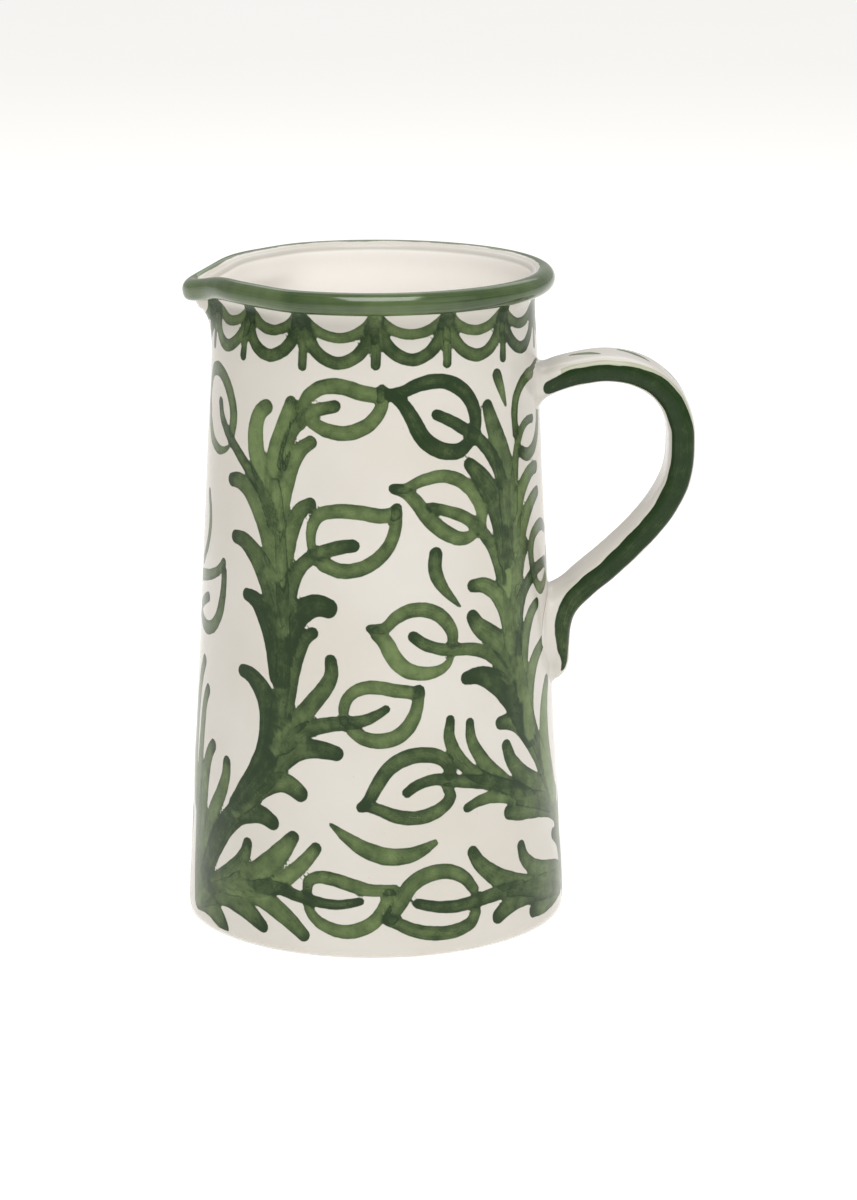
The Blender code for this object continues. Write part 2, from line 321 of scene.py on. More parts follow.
# %% Paths of the fronds
BLADES = (
    # stem of the left frond, from the root up, then its blades from the foot to the top
    (0.3, 6, 6, 6, (-70, 8), (-66, 18), (-61.5, 28), (-56.5, 37.5), (-51, 46), (-45, 54), (-39.5, 62),
     (-35.6, 71), (-33.2, 82), (-31.6, 94)),
    (0.45, 6, 4.6, 4, (-32, 86), (-30.8, 98), (-30.6, 110), (-30.9, 122), (-31.4, 134), (-32.2, 146),
     (-33.4, 158), (-34.8, 170)),
    (0.45, 4.8, 8, 5, (-52.3, 3.4), (-55.6, 6.4), (-60, 8.9), (-65, 9), (-70, 6.6)),
    (0.4, 4.8, 8, 5, (-36, 8.2), (-39.5, 11), (-44.5, 14), (-50, 15.6), (-56, 15.2), (-62.5, 12), (-68, 8)),
    (0.5, 4.8, 7, 5, (-22, 7.6), (-25.3, 11), (-30, 15), (-35.5, 18.3), (-41.5, 20.2), (-48, 20.2),
     (-55, 18)),
    (0.35, 4.6, 6.6, 5, (-42.8, 37.4), (-44, 32.8), (-47.5, 27.7), (-52, 23.3), (-57.5, 19), (-63, 14.5),
     (-68, 10)),
    (0.6, 4.4, 5.6, 5, (-18.5, 40), (-21, 36), (-25, 31), (-30, 26), (-36, 22.4), (-43, 20.4), (-50, 18.6)),
    (0.5, 4.8, 8, 5, (-26, 43), (-28.3, 39.5), (-32, 34.2), (-37, 29), (-43, 24.4), (-50, 20.6)),
    (0.5, 4.6, 6.6, 7, (-53.9, 65), (-54.3, 59), (-57, 51.5), (-60.5, 45), (-64, 37), (-67, 28),
     (-69.5, 18)),
    (0.5, 5, 7.6, 8, (-62.8, 68.7), (-65.5, 64.5), (-67.5, 57), (-68.8, 47), (-70, 36), (-71, 22)),
    (0.25, 5.6, 8.6, 8, (-33.3, 47.3), (-37, 49.3), (-42, 49.3), (-47.5, 47.2), (-52.5, 42.5), (-57, 36),
     (-61.5, 27.5), (-66, 18)),
    (0.4, 6, 7, 5, (-23.8, 59.4), (-26.5, 61.5), (-30.5, 62.8), (-35, 61.2), (-39.5, 57.3), (-44, 52.5),
     (-48, 48)),
    (0.3, 5.6, 7, 6, (-12.3, 75.2), (-16, 76), (-21, 76.2), (-26, 74.2), (-31, 69.5), (-36, 63),
     (-41, 56.5), (-46, 51)),
    (0.15, 4.8, 9, 6, (-47.2, 100.4), (-43.5, 99.8), (-39, 95.8), (-35.8, 89.5), (-34.9, 81),
     (-36.2, 72.5), (-39.6, 64.5), (-44.5, 57), (-49, 51)),
    (0.4, 4.4, 5.8, 6, (-14.2, 108.7), (-14, 103.5), (-16, 98.7), (-19.5, 93.5), (-23.5, 88), (-28, 82),
     (-32, 75)),
    (0.3, 4.4, 5.6, 5.6, (-20.3, 118.2), (-23, 115.8), (-25.5, 110), (-27.3, 103), (-28.6, 94),
     (-29.8, 86)),
    (0.1, 4.8, 7.6, 8, (-46, 128.5), (-42.3, 127.5), (-38.7, 123.5), (-35.5, 117.5), (-33.3, 110),
     (-32, 101)),
    (0.1, 7.2, 7.8, 6.4, (-15.4, 127.5), (-18.5, 128.3), (-22.5, 126.8), (-26.3, 122.8), (-28.8, 116.5),
     (-30, 108)),
    (0.35, 4.8, 7.6, 8, (-53, 148.3), (-49, 148), (-44.5, 145.2), (-40.2, 140.5), (-36.8, 134.5),
     (-34, 127), (-32, 119)),
    (0.5, 5, 7.2, 8, (-56.3, 168.3), (-52, 168.8), (-47, 166.5), (-42.5, 161.5), (-39, 155.5), (-36, 148),
     (-34, 139)),
    (0.5, 4.6, 5.6, 5, (-21.8, 164.3), (-25.2, 161.8), (-28, 156), (-29.6, 149), (-30.5, 141)),
    (0.7, 5.4, 7.2, 6, (-39.5, 197.2), (-42.5, 194.6), (-44.4, 189), (-44, 182), (-42, 175), (-39, 167),
     (-36, 158)),
    (0.55, 4.8, 5.6, 5, (-21.8, 186.2), (-25.2, 183.6), (-28.3, 178.8), (-30.3, 172.5), (-31.8, 165),
     (-32.8, 156)),
    (0.6, 4.6, 6, 5.2, (-29.4, 199.8), (-31.2, 194.5), (-33.5, 188), (-35.6, 181), (-36.7, 173),
     (-36.4, 165), (-35, 155)),
    # the shoot that climbs the left side from the same root
    (0.5, 5, 6, 6.4, (-73.4, 97.5), (-76.5, 91.5), (-79, 83), (-80.5, 72), (-80, 58), (-77, 44)),
    (0.5, 4.6, 6.2, 7, (-68.7, 88), (-71, 83), (-72.6, 74), (-73.4, 60), (-73.6, 42), (-73, 22), (-71, 8)),
    # stem of the right frond, from the root up, then its blades
    (0.35, 8, 7, 6, (86, 6), (83, 18), (80, 30), (76.5, 42), (72, 52), (67.5, 60.5), (62.5, 70),
     (58.5, 80), (55.6, 90)),
    (0.85, 7, 6.4, 6, (58, 80), (54.5, 92), (51.8, 104), (50.2, 118), (49.6, 134), (50, 150), (50.8, 166)),
    (0.45, 5.4, 8, 8, (56, 8), (61.5, 8.6), (67.5, 9.5), (74, 10.5), (81, 11.5)),
    (0.35, 5.8, 8.4, 9, (39.8, 10.6), (43.5, 13.2), (48.5, 15), (55, 15.6), (62, 15), (70, 13.5), (78, 11)),
    (0.4, 4.6, 7, 7, (30.9, 36.4), (33.3, 31.8), (38, 26.8), (43.8, 22.7), (50.5, 19.5), (58, 16.5),
     (66, 13.5)),
    (0.45, 4.4, 6.4, 7, (50.8, 34), (52, 29.5), (56, 25), (61.5, 21.8), (68, 19.5), (75, 17), (82, 13)),
    (0.45, 4.4, 5.4, 5, (73, 31.6), (76.5, 29.5), (79.5, 26.5), (82, 21.5)),
    (0.5, 4.6, 7, 6, (94, 62), (92, 55), (88.5, 47), (84, 39), (80, 31)),
    (0.4, 4.6, 6.6, 6, (97, 38), (94.6, 31.5), (91, 25), (86.5, 18)),
    (0.5, 5.6, 8, 6, (45.7, 48), (51, 47.2), (57.5, 46.8), (64.5, 45.3), (72, 42), (78.5, 36.5)),
    (0.5, 3.4, 5.2, 7, (29.3, 53.1), (34, 55), (40, 55.3), (47, 53.5), (54, 51), (62, 48), (71, 44)),
    (0.4, 3.4, 4.6, 4.6, (24.1, 86.3), (23.6, 80.5), (25, 75), (28, 69.8), (32.5, 65), (38.5, 61)),
    (0.45, 3.4, 5.4, 6, (31, 84.2), (31.3, 78.5), (33.8, 72.3), (37.8, 66.3), (43, 60.5), (49, 55.5),
     (56, 51)),
    (0.4, 4.8, 7, 7, (45.5, 72.6), (47.5, 67), (51.5, 61.5), (57, 57), (63.5, 53), (70.5, 49.5),
     (78, 45.5)),
    (0.4, 5, 8, 8.4, (43.3, 81.6), (48, 81.2), (53.5, 78), (58.5, 72.5), (63, 66), (67, 59), (71.5, 52)),
    (0.7, 6, 8.6, 8, (73.3, 89), (70.8, 84), (69.3, 76), (69.3, 67), (71.5, 57), (75.5, 47)),
    (0.15, 4.6, 8.8, 8, (30.2, 100.4), (35, 100.7), (40.5, 98), (45.5, 93.7), (50, 88), (54, 81), (58, 73)),
    (0.6, 4.6, 6.6, 7, (71.2, 105.1), (67, 103), (62.8, 99.5), (59.6, 93.5), (58, 85), (58.5, 75)),
    (0.4, 5.2, 7.2, 6, (33.2, 122.2), (35.5, 118.4), (39.5, 115), (44, 111), (47.8, 105.5), (50.3, 98)),
    (0.55, 4.6, 6, 6, (66.7, 120.2), (63, 118.4), (59.5, 114), (57, 108), (55.3, 99), (54.8, 90)),
    (0.55, 4.6, 6, 6, (33.5, 133.4), (38, 133), (42.5, 130), (46, 125), (48.3, 118), (49.3, 109)),
    (0.3, 4, 5, 5.4, (78, 133.4), (69.5, 133.2), (64, 131.4), (59, 128.3), (55.7, 123.5), (53.8, 116),
     (52.8, 107)),
    (0.5, 4.4, 6, 6, (60.3, 143.6), (57.3, 140), (54.8, 134), (53.3, 126), (52.3, 117)),
    (0.6, 4.4, 6.6, 6, (72.3, 160.4), (67.5, 158.8), (62.5, 155.2), (58.3, 149.8), (55.3, 142),
     (53.8, 133)),
    (0.6, 4.4, 6.2, 6, (72.3, 169.6), (67.5, 169.5), (62, 166.5), (57.5, 161.5), (54.8, 154), (53.5, 145)),
    (0.3, 4.8, 8.4, 8, (33.5, 177), (36.8, 173.6), (40.2, 169), (43.5, 163.8), (46, 157.5), (47.6, 150),
     (48.6, 141)),
    (0.45, 5, 8, 9, (42.2, 196.6), (44, 191), (46.5, 184.5), (49, 177), (50.5, 168), (51, 157)),
    (0.5, 3, 3.8, 4.2, (70.5, 187.6), (65.5, 187.6), (61, 185.5), (57.7, 180.5), (55.8, 174), (54.8, 166),
     (54, 157)),
)
print(len(LEAVES), "leaf strokes and", len(BLADES), "in the fronds")

# %% [markdown]
# The same garland runs right round under the rim: a shallow swag, a deep swag below it and a drop where
# two meet. It is one bay, repeated, with each bay a little off from the last as a hand makes it.

# %% Paths of the garland
BAYS = 14
BAY = 360 / BAYS
SHALLOW = (
    0.14, 4.6, 3.6, 4.6,
    (0, 231), (3.4, 227.4), (8, 224.9), (12.9, 224), (17.8, 224.9), (22.3, 227.4), (BAY, 231),
)
DEEP = (
    -0.06, 5, 4.5, 5,
    (0.4, 229), (2.4, 223), (6.6, 217.6), (12.9, 215.1), (19.2, 217.6), (23.3, 223), (BAY - 0.4, 229),
)
DROP = (0.1, 3.4, 3.1, 3, (0, 213.4), (0.2, 218), (0, 224))


def garland():
    """The strokes of the garland, as the leaves have theirs."""
    strokes = []
    for bay in range(BAYS):
        sway = 0.7 * math.sin(2.4 * bay + 0.6)     # degrees
        sag = 0.6 * math.sin(1.7 * bay + 1.1)      # millimetres
        shade = 0.42 + 0.24 * math.sin(2.9 * bay)
        for thinner, start, belly, end, *path in (SHALLOW, DEEP, DROP):
            moved = [(BAY * bay + sway + turn, up + sag) for turn, up in path]
            strokes.append((shade + thinner, start, belly, end, *moved))
    return strokes


print(3 * BAYS, "strokes in the garland")

# %% [markdown]
# ## From brush paths to paint
# For each point of the wall this finds how far it is from the edge of the nearest stroke, below zero
# under the stroke, and the same for the next two. The material turns the first into paint, and the
# others into the seams and darker patches where one translucent stroke lies over another. The back
# carries the front's painting turned half way round.

# %% Follow a path with a smooth curve
CURVE_STEP = 1.4   # degrees or millimetres


def follow(path):
    """Points along the curve through a path, about CURVE_STEP of its own units apart."""
    stops = np.array(path, float)
    stops = np.vstack([2 * stops[0] - stops[1], stops, 2 * stops[-1] - stops[-2]])
    curve = []
    for before, start, end, after in zip(stops, stops[1:], stops[2:], stops[3:]):
        steps = max(2, int(np.hypot(*(end - start)) / CURVE_STEP))
        for share in np.arange(steps) / steps:
            curve.append(0.5 * (
                2 * start + (end - before) * share
                + (2 * before - 5 * start + 4 * end - after) * share**2
                + (3 * start - 3 * end + after - before) * share**3
            ))
    curve.append(stops[-2])
    return np.array(curve)


# %% Measure from a stroke
FAR = 9.0          # millimetres: as far from paint as a point needs to know
COATS = 3          # the deepest pile of strokes that shows
REACH = 7.0        # look no farther than this from a path
SPREAD = 0.08      # wet paint creeps this far past the brush


def measure(spots, line, widths):
    """How far spots are outside a stroke, and how far along it, all in millimetres."""
    steps = line[1:] - line[:-1]
    lengths = np.hypot(*steps.T)
    travelled = np.r_[0, np.cumsum(lengths)]
    share = travelled / travelled[-1]
    start, belly, end = widths
    half = 0.5 * (
        start * (1 - share) * (1 - 2 * share)
        + 4 * belly * share * (1 - share)
        + end * share * (2 * share - 1)
    )
    best = np.full(len(spots), FAR)
    along = np.zeros(len(spots))
    legs = zip(steps, line, lengths, half, half[1:], travelled)
    for step, origin, length, width, next_width, gone in legs:
        share = np.clip((spots - origin) @ step / length**2, 0, 1)
        away = np.hypot(*(spots - origin - share[:, None] * step).T)
        outside = away - (width * (1 - share) + next_width * share)
        along = np.where(outside < best, gone + share * length, along)
        best = np.minimum(best, outside)
    return best - SPREAD, along


# %% Lay one stroke on the wall
TIP = 2.2          # a stroke's first millimetres hold more paint
TIP_LOAD = 0.28
TOUCH = 0.3        # a stroke's shade reaches this far past its edge


def lay(stroke, turn, up, coats, shade):
    """Adds one stroke to the wall. coats keeps the distances from the nearest strokes, in order."""
    thin, start, belly, end, *path = stroke
    curve = follow(path)
    middle = curve[:, 0].mean()
    degree = math.radians(1) * wall_radius(curve[:, 1].mean() * MM) / MM    # in millimetres
    near = (turn - middle + 180) % 360 - 180 + middle
    low, high = curve.min(0), curve.max(0)
    close = np.flatnonzero(
        (near > low[0] - REACH / degree) & (near < high[0] + REACH / degree)
        & (up > low[1] - REACH) & (up < high[1] + REACH)
    )
    if not close.size:
        return
    spots = np.stack([near[close] * degree, up[close]], -1)
    best, along = measure(spots, curve * [degree, 1], (start, belly, end))
    carried = best
    for coat in coats:
        before = coat[close]
        coat[close], carried = np.minimum(before, carried), np.maximum(before, carried)
    shade[close] = np.where(best < TOUCH, thin - TIP_LOAD * np.exp(-along / TIP), shade[close])


# %% Paint the body
PRESS = 1.12       # a frond's blades are pressed down harder, so they are this much fuller
SKIN = 0.3 * MM    # a point this near the wall's surface is on the outside
PAINT_LOW = 0.5 * MM
PAINT_HIGH = 0.2334
INSIDE_LIGHT_FADE = (TOP - 0.0032, TOP - 0.0010)    # where the painted light on the inside gives way to the lip's plain cream
NO_SHADE = 0.5     # for bare wall

places = points_of(body)
heights = places[:, 2]
depth_in_wall = wall_radius(heights) - from_axis(places)
within = (depth_in_wall > SKIN) & (heights > 0.5 * FLOOR)
# Painted light: this mask marks the inside, which is coloured a brighter cream for the light that gathers in
# the pot, fading out under the lip.
record_on(body, "inside", within * (1 - smoothstep(*INSIDE_LIGHT_FADE, heights)))
outer = (depth_in_wall < SKIN) & (heights > PAINT_LOW) & (heights < PAINT_HIGH)
turn = np.degrees(np.arctan2(places[:, 0], -places[:, 1]))[outer]
up = heights[outer] / MM

coats = np.full((COATS, turn.size), FAR)
shade = np.full(turn.size, NO_SHADE)
pressed = tuple((thin, start, belly * PRESS, end, *path) for thin, start, belly, end, *path in BLADES)
for stroke in pressed + LEAVES:
    for half_turn in (0, 180):
        lay(stroke, turn - half_turn, up, coats, shade)
for stroke in garland():
    lay(stroke, turn, up, coats, shade)

records = [(f"coat_{number}", coat, FAR) for number, coat in enumerate(coats)]
records.append(("stroke_shade", shade, NO_SHADE))
for name, values, blank in records:
    full = np.full(len(places), blank)
    full[outer] = values
    record_on(body, name, full)
print(f"paint covers {100 * (coats[0] < 0).mean():.0f} % of the outside")

# %% [markdown]
# ## Pulling the spout
# A finger pushes the rim out at one place while two others hold it in on each side. Each point moves by
# one smooth rule, so the wall, its painting and the rim all take the same pull. The throat below the tip
# bulges most, and the tip dips a little.

# %% Pull the spout
SPOUT_OUT = 0.0068
SPOUT_PINCH = 0.0030
SPOUT_DIP = 0.0042
TIP_TURN = 12                      # degrees from the tip over which the push dies away
DIP_TURN = 15.6
PINCH_TURNS = (42, 66)             # the pinch is over by the second
THROAT_TOP = BEAD_FOOT - 0.0022
THROAT_DEPTH = 0.024
THROAT_EXTRA = 0.0012
THROAT_FADE = (0.2308, 0.2350)     # the extra bulge is gone by the second height
# Each waver's size in metres, waves in one turn, radians for each metre up, and phase
WAVERS = ((0.00016, 2, 0, 0.7), (0.00009, 3, 70, 0), (0.00006, 0, 150, 0))


def pull_spout(places):
    """The places after the spout is pulled towards -X."""
    x, y, z = places.T
    turn = np.abs(np.degrees(np.arctan2(y, -x)))
    tip = np.exp(-(turn / TIP_TURN) ** 2)
    pinch = 1 - smoothstep(*PINCH_TURNS, turn)
    rise = np.clip((z - THROAT_TOP + THROAT_DEPTH) / THROAT_DEPTH, 0, 1) ** 3
    above = smoothstep(*THROAT_FADE, z)
    out = ((SPOUT_OUT + THROAT_EXTRA * (1 - above)) * tip - SPOUT_PINCH * pinch) * rise
    radius = np.maximum(np.hypot(x, y), 1e-9)
    dip = SPOUT_DIP * np.exp(-(turn / DIP_TURN) ** 2) * rise
    return np.stack([x * (1 + out / radius), y * (1 + out / radius), z - dip], -1)


def hand_made(places):
    """A slow waver of a fraction of a millimetre, as a hand leaves in clay."""
    x, y, z = places.T
    turn = np.arctan2(y, x)
    waver = sum(size * np.sin(waves * turn + climb * z + phase) for size, waves, climb, phase in WAVERS)
    radius = np.maximum(np.hypot(x, y), 1e-9)
    grow = 1 + waver * np.clip(radius / FOOT_RADIUS, 0, 1) / radius
    return np.stack([x * grow, y * grow, z], -1)


move_points(body, hand_made(pull_spout(points_of(body))))
print("spout tip at", round(points_of(body)[:, 0].min() / MM, 1), "mm")

# %% [markdown]
# ## The rim
# The rim is a coil of clay rolled on to the wall: a torus is the natural start. Where the bead faces the
# inside its green stops and the cream begins, so each point first keeps its angle round the section.

# %% Roll the rim
FLANK_START = -100     # degrees round the section, low on the inner side, where the count begins

rim = start_piece(
    "rolled_rim", bpy.ops.mesh.primitive_torus_add,
    major_segments=2 * AROUND, minor_segments=20, major_radius=BEAD_RING, minor_radius=BEAD,
)
bpy.ops.object.mode_set(mode="EDIT")
bpy.ops.mesh.select_all(action="SELECT")
bpy.ops.transform.translate(value=(0, 0, TOP - BEAD))
bpy.ops.object.mode_set(mode="OBJECT")
face_outwards(rim)
smooth_over(rim, 1)
places = points_of(rim)
flank = np.degrees(np.arctan2(places[:, 2] - (TOP - BEAD), from_axis(places) - BEAD_RING))
record_on(rim, "rim_flank", np.where(flank < FLANK_START, flank + 360, flank))
move_points(rim, hand_made(pull_spout(places)))
print("rim:", 2 * len(rim.data.polygons), "triangles")

# %% [markdown]
# ## The handle
# A strap is pulled from a lump of wet clay, cut off straight and bent to the pot. It is modelled the
# same way. A flat-oval bar is extruded straight up, the coloured band is laid out along its two edges
# while it is straight, and then the bar is bent along its line. Where it lands, wet clay is smeared out
# on the wall, which leaves a hollow fillet all round each root.

# %% Write the line the strap follows
STRAP_HALF = 0.0135
STRAP_THICK = 0.0100
TAIL_THICK = 0.0102
STRAP_LINE = (     # out from the wall and down from the crest of the rim
    (-0.0046, 0.0447), (0.0000, 0.0429), (0.0096, 0.0391), (0.0247, 0.0366), (0.0371, 0.0390),
    (0.0461, 0.0458), (0.0505, 0.0556), (0.0508, 0.0666), (0.0487, 0.0778), (0.0429, 0.0884),
    (0.0342, 0.0987), (0.0229, 0.1091), (0.0124, 0.1177), (0.0057, 0.1246), (0.0029, 0.1318),
    (0.0019, 0.1400), (0.0015, 0.1448), (0.0000, 0.1480), (-0.0040, 0.1494),
)
stops = [(wall_radius(TOP - down) + out, TOP - down) for out, down in STRAP_LINE]
line = follow(np.array(stops) / MM) * MM
gaps = np.hypot(*(line[1:] - line[:-1]).T)
run = np.r_[0, np.cumsum(gaps)]
LENGTH = run[-1]
print(f"strap: {LENGTH / MM:.0f} mm long")

# %% Pull the bar straight
BAR_STEPS = 70
SECTION_POINTS = 28
handle = start_piece(
    "strap_handle", bpy.ops.mesh.primitive_circle_add, vertices=SECTION_POINTS, radius=1, fill_type="NGON"
)
bpy.ops.object.mode_set(mode="EDIT")
bpy.ops.mesh.select_mode(type="EDGE")
bpy.ops.mesh.select_all(action="SELECT")
bpy.ops.mesh.region_to_loop()
for step in range(BAR_STEPS):
    bpy.ops.mesh.extrude_edges_move(TRANSFORM_OT_translate={"value": (0, 0, LENGTH / BAR_STEPS)})
bpy.ops.mesh.edge_face_add()
bpy.ops.object.mode_set(mode="OBJECT")
face_outwards(handle)
smooth_over(handle, 2)
print("handle:", 2 * len(handle.data.polygons), "triangles")

# %% Press the bar flat
ROUND_THROUGH, ROUND_ACROSS = 0.62, 0.42    # how full the flat oval is each way
RING_STEPS = 1440                           # fine enough to share the girth out evenly
THICKENS = (0.22, 0.42)                     # shares of the strap between which it thickens


def power(value, exponent):
    """Raises a size and keeps its sign."""
    return np.sign(value) * np.abs(value) ** exponent


ring = np.linspace(-np.pi, np.pi, RING_STEPS + 1)
ring_across = STRAP_HALF * power(np.sin(ring), ROUND_ACROSS)
ring_through = 0.5 * STRAP_THICK * power(np.cos(ring), ROUND_THROUGH)
ring_run = np.r_[0, np.cumsum(np.hypot(np.diff(ring_across), np.diff(ring_through)))]
girth = ring_run[-1]

places = points_of(handle)
where = places[:, 2]
share = np.clip(where / LENGTH, 0, 1)
round_bar = np.arctan2(places[:, 1], places[:, 0]) / (2 * np.pi)        # -0.5 to 0.5 of the girth
fill = np.clip(from_axis(places), 0, 1)
swell = 1 + (TAIL_THICK / STRAP_THICK - 1) * smoothstep(*THICKENS, share)
on_ring = (round_bar + 0.5) * girth
across = np.interp(on_ring, ring_run, ring_across) * fill
through = np.interp(on_ring, ring_run, ring_through) * fill * swell
lean_through = np.interp(on_ring, ring_run, np.gradient(ring_across, ring_run))
lean_across = -np.interp(on_ring, ring_run, np.gradient(ring_through, ring_run))
off_edge = (np.abs(round_bar) - 0.25) * girth / MM                      # below 0 towards the outer face
print(f"girth of the strap {girth / MM:.0f} mm")

# %% Draw the coloured bands and dashes
# Run along the strap, place across its edge and width, all in millimetres.
BAND = (
    (8.6, 1.4, 5.4), (13, 1.2, 6.4), (19, 1.1, 6.8), (26, 1.1, 7.0), (40, 0.9, 7.4), (54, 0.2, 8.6),
    (68, -0.2, 9.4), (82, -0.1, 9.8), (98, 0.0, 9.4), (114, 0.0, 8.6), (130, -0.2, 8.2), (142, -0.6, 8.2),
    (152, -1.4, 7.6), (161, -2.2, 6.4), (168, -3.0, 4.4), (172, -3.4, 2.4),
)
BAND_WAVERS = ((0.25, 0.23, 1), (0.15, 0.61, 2))     # size, radians for each millimetre, and phases
BAND_SHADE = 0.02
TAIL_THINS = 0.25      # the paint is this much thinner at the tail
NO_BAND = 0.25         # the shade where no brush went
DASHES = (23, 39, 55, 72, 89, 106, 123, 140)
DASH = ((-3.8, 3.0), (0, 1.2), (5.0, -3.6))     # along and across the outer face
DASH_WIDTHS = (2.2, 3.8, 1.2)
DASH_SHADE = 0.6
DASH_LEAN = 1.5
SHEEN_START = 14        # beside the band, a painted highlight lies on the outer face
SHEEN_WIDTH = 1.9
SHEEN_FADE = (56, 80)   # and runs out past the arch

run_mm = where / MM
band_edge = np.full(len(places), FAR)
band_shade = np.full(len(places), NO_BAND)
along, middle, width = np.array(BAND).T
for which, phase in ((-1, 0.0), (1, 2.1)):
    mine = np.flatnonzero(np.sign(places[:, 1]) == which)
    spots = np.stack([run_mm[mine], off_edge[mine]], -1)
    waver = sum(size * np.sin(rate * run_mm[mine] + times * phase) for size, rate, times in BAND_WAVERS)
    off_middle = np.abs(spots[:, 1] - np.interp(spots[:, 0], along, middle) - waver)
    beside = off_middle - 0.5 * np.interp(spots[:, 0], along, width)
    past = np.maximum(along[0] - spots[:, 0], spots[:, 0] - along[-1])
    blunt = np.hypot(np.maximum(past, 0), np.maximum(beside + 0.5 * width[0], 0)) - 0.5 * width[0]
    band_edge[mine] = np.where(past > 0, blunt, beside)
    band_shade[mine] = BAND_SHADE + TAIL_THINS * smoothstep(120, 170, run_mm[mine])
# Where the painted highlight lies: a strip beside the band on the outer face, past its start.
sheen_edge = np.where((run_mm > SHEEN_START) & (off_edge < 0), band_edge - SHEEN_WIDTH, FAR)
record_on(handle, "band_sheen", sheen_edge + 3 * smoothstep(*SHEEN_FADE, run_mm))
facing = np.flatnonzero(through > 0)
spots = np.stack([run_mm[facing], across[facing] / MM], -1)
for gone in DASHES:
    lean = DASH_LEAN * math.sin(gone)
    path = follow([(gone + run_on, side + lean) for run_on, side in DASH])
    best, _ = measure(spots, path, DASH_WIDTHS)
    band_shade[facing] = np.where(best < band_edge[facing], DASH_SHADE, band_shade[facing])
    band_edge[facing] = np.minimum(band_edge[facing], best)
record_on(handle, "band_edge", band_edge)
record_on(handle, "band_shade", band_shade)
print(len(DASHES), "dashes on the outer face")

# %% Bend the bar along its line
TAIL_NARROWS = 0.22     # the tail's end loses this share of the strap's width

centre = np.stack([np.interp(where, run, line[:, axis]) for axis in (0, 1)], -1)
ahead = np.stack([
    np.interp(where + MM, run, line[:, axis]) - np.interp(where - MM, run, line[:, axis]) for axis in (0, 1)
], -1)
ahead /= np.maximum(np.hypot(*ahead.T), 1e-9)[:, None]
outward = np.stack([-ahead[:, 1], ahead[:, 0]], -1)
across = across * (1 - TAIL_NARROWS * smoothstep(0.93, 1.0, share))
middle_line = centre + outward * through[:, None]
bent = np.stack([middle_line[:, 0], across, middle_line[:, 1]], -1)

# %% Smear the roots on to the wall
SUNK = 0.0034           # the hidden ends stop this far inside the wall
FEATHER = 0.0002        # the smear's thin edge ends this far under the glaze, still spreading
FILLET_HIGH = 0.0048    # radius of the smear's hollow at the upper root
FILLET_CROOK = 0.0085   # where the strap comes back to the wall
FILLET_END = 0.0020     # round the tail's end
fillet = (
    FILLET_HIGH + (FILLET_CROOK - FILLET_HIGH) * smoothstep(0.5, 0.7, share)
    - (FILLET_CROOK - FILLET_END) * smoothstep(0.90, 0.97, share)
)

skin = np.stack([outward[:, 0] * lean_through, lean_across, outward[:, 1] * lean_through], -1)
skin /= np.maximum(np.linalg.norm(skin, axis=1), 1e-9)[:, None]
reach = from_axis(bent)
away_from_axis = np.stack([bent[:, 0] / reach, bent[:, 1] / reach, np.zeros(len(bent))], -1)
spread = skin - (skin * away_from_axis).sum(1)[:, None] * away_from_axis
strength = np.linalg.norm(spread, axis=1)
above_wall = reach - wall_radius(bent[:, 2]) + FEATHER
off_wall = np.clip(above_wall, 0, fillet)
hollow = fillet - np.sqrt(fillet**2 - (fillet - off_wall) ** 2) + 3 * np.clip(-above_wall, 0, MM)
push = hollow * smoothstep(0.05, 0.45, strength) / np.maximum(strength, 1e-9)
bent += spread * push[:, None]
reach = from_axis(bent)
least = wall_radius(bent[:, 2]) - SUNK
bent[:, :2] *= np.maximum(1, least / reach)[:, None]
move_points(handle, bent)
face_outwards(handle)
far_out, _, far_up = bent.max(0) / MM
print(f"handle reaches {far_out:.1f} mm out and {far_up:.1f} mm up")

# %% [markdown]
# ## The bare base
# A glazed pot is wiped clean underneath so that it does not stick to the kiln shelf. The disc inside the
# foot is that bare clay, with the rings that a turning tool leaves.

# %% Turn the base
BASE_RADIUS = 0.0598
BASE_LOW, BASE_HIGH = 0.0018, 0.0052
TURNINGS = 9
TURNING_DEPTH = 0.00022
RIDGE, GROOVE = 0.0006, 0.0028
base = start_piece(
    "bare_base", bpy.ops.mesh.primitive_cylinder_add,
    vertices=128, radius=BASE_RADIUS, depth=BASE_HIGH - BASE_LOW,
)
bpy.ops.object.mode_set(mode="EDIT")
bpy.ops.mesh.select_all(action="SELECT")
bpy.ops.transform.translate(value=(0, 0, 0.5 * (BASE_LOW + BASE_HIGH)))
bpy.ops.object.mode_set(mode="OBJECT")
for face in base.data.polygons:
    face.select = face.normal.z < -0.5
bpy.ops.object.mode_set(mode="EDIT")
bpy.ops.mesh.select_mode(type="FACE")
for turning in range(TURNINGS):
    bpy.ops.mesh.inset(thickness=GROOVE if turning % 2 else RIDGE, depth=0)
    bpy.ops.mesh.inset(thickness=0.0022 + 0.0010 * math.sin(turning) ** 2, depth=0)
    bpy.ops.transform.translate(value=(0, 0, TURNING_DEPTH * (-1) ** turning))
bpy.ops.object.mode_set(mode="OBJECT")
face_outwards(base)
alone(base)
bpy.ops.object.shade_smooth_by_angle(angle=math.radians(35))
print("base:", len(base.data.polygons), "faces")

# %% [markdown]
# ## Finishes
# A finish is a small net of nodes. Two helpers keep it readable. A `Wire` is one socket, and plain
# arithmetic on it adds the Math nodes. A `Shop` is one material: its `add` makes any node from a type,
# its settings and its inputs.

